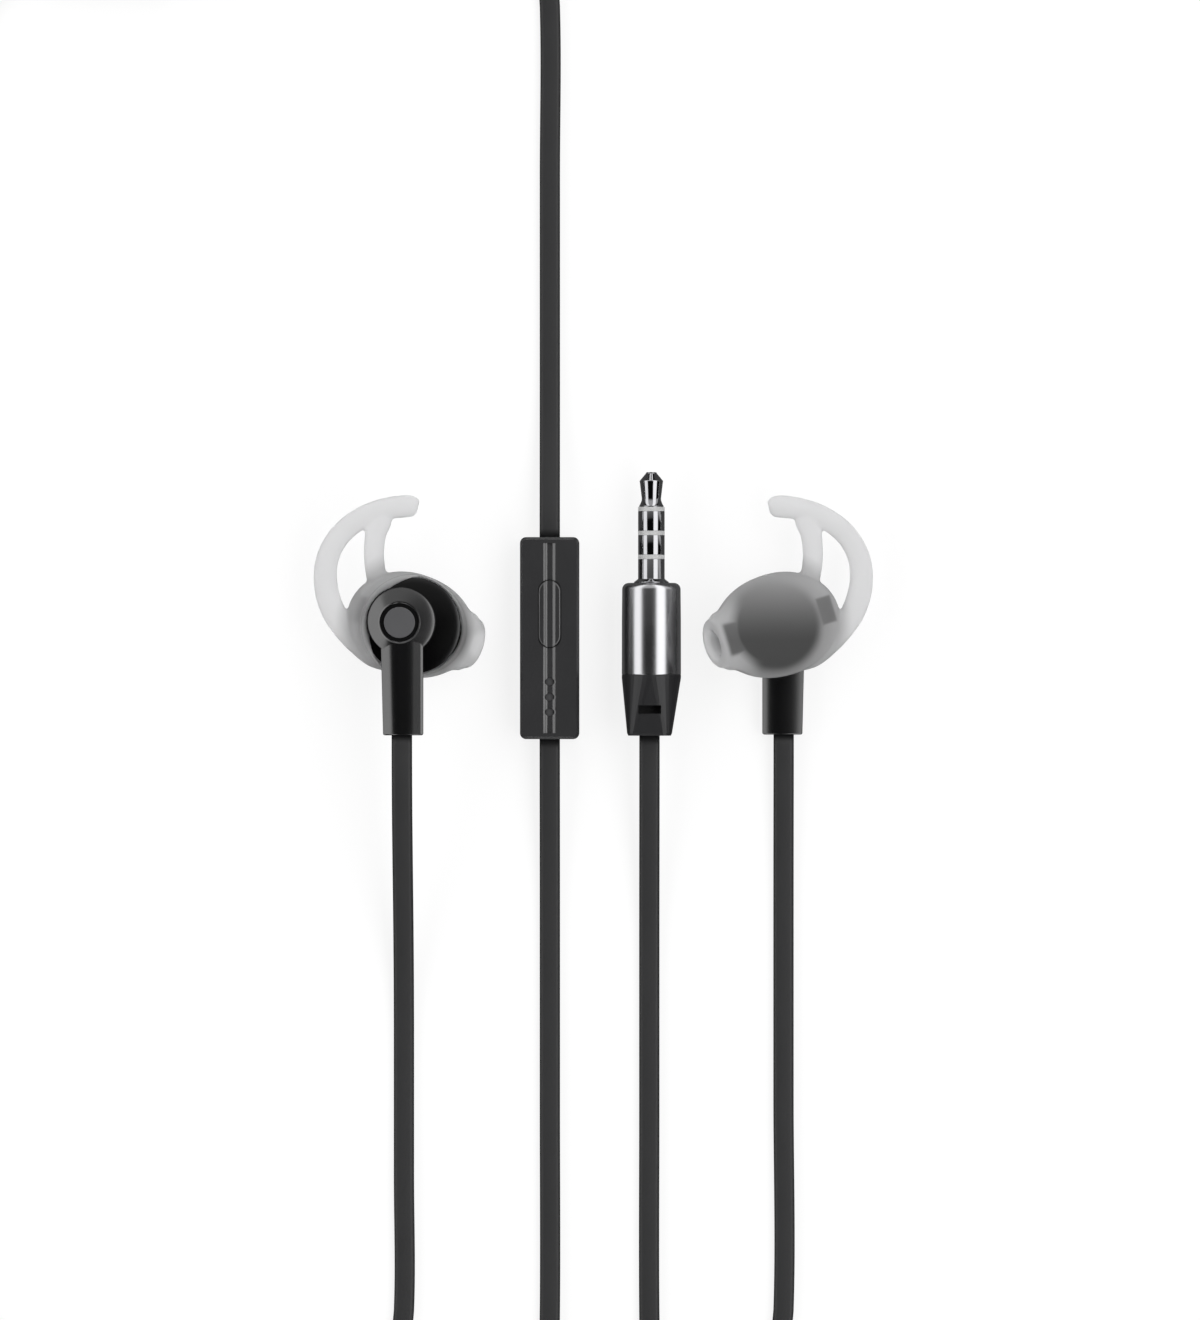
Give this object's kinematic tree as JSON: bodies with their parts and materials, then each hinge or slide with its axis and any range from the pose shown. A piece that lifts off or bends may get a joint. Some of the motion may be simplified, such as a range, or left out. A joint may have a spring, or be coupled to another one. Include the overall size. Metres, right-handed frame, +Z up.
{
  "type": "wired in-ear earphones",
  "caption": "Wired in-ear earphones with translucent silicone wing sleeves, flat cord, in-line remote with a button, and a four-pole 3.5 mm plug.",
  "frame": {"origin": "on the table plane under the middle of the two ear pieces", "axes": "+X across the pair of ear pieces, +Y along the stems towards the wings, +Z up from the table; the set lies flat"},
  "size_m": [0.1232, 0.2264, 0.0113],
  "materials": {
    "satin_black": "satin moulded",
    "dark_plastic": "fine matt moulded",
    "badge": "smooth satin",
    "driver_steel": "stamped",
    "diaphragm": "thin film",
    "copper": "bare wire",
    "mesh": "woven",
    "silicone": "translucent frosted silicone",
    "board": "solder mask",
    "contact_steel": "polished plating",
    "barrel_steel": "polished turned steel",
    "insulator": "moulded ring",
    "cord": "matt elastomer jacket",
    "relief": "matt elastomer"
  },
  "bodies": {
    "set": {"left_rear_shell": "satin_black", "left_front_shell": "satin_black", "left_cap": "satin_black", "left_stem_back": "satin_black", "left_badge": "badge", "left_driver_basket": "driver_steel", "left_driver_magnet": "driver_steel", "left_diaphragm": "diaphragm", "left_voice_coil": "copper", "left_nozzle_mesh": "mesh", "left_wires": "copper", "left_cord_gland": "relief", "left_ear_sleeve": "silicone", "right_rear_shell": "satin_black", "right_front_shell": "satin_black", "right_cap": "satin_black", "right_stem_back": "satin_black", "right_badge": "badge", "right_driver_basket": "driver_steel", "right_driver_magnet": "driver_steel", "right_diaphragm": "diaphragm", "right_voice_coil": "copper", "right_nozzle_mesh": "mesh", "right_wires": "copper", "right_cord_gland": "relief", "right_ear_sleeve": "silicone", "remote_upper_shell": "dark_plastic", "remote_lower_shell": "dark_plastic", "remote_board": "board", "remote_switch": "driver_steel", "remote_microphone": "driver_steel", "remote_gasket": "relief", "remote_glands": "relief", "plug_tip": "contact_steel", "plug_ring_1": "contact_steel", "plug_ring_2": "contact_steel", "plug_ground": "contact_steel", "plug_insulator": "insulator", "plug_core": "dark_plastic", "plug_barrel": "barrel_steel", "plug_relief": "relief", "splitter_upper": "dark_plastic", "splitter_lower": "dark_plastic", "splitter_joint": "copper", "cord_left": "cord", "cord_right": "cord", "cord_common": "cord", "cord_remote_tail": "cord", "cord_coil": "cord", "cord_plug_tail": "cord", "coil_tie": "relief"},
    "button": {"remote_button": "dark_plastic"}
  },
  "joints": [
    {"name": "button_press", "type": "slide", "parent": "set", "child": "button", "axis": [0, 0, -1], "range_m": [0, 0.0003], "stiffness_N_per_m": 4000}
  ]
}
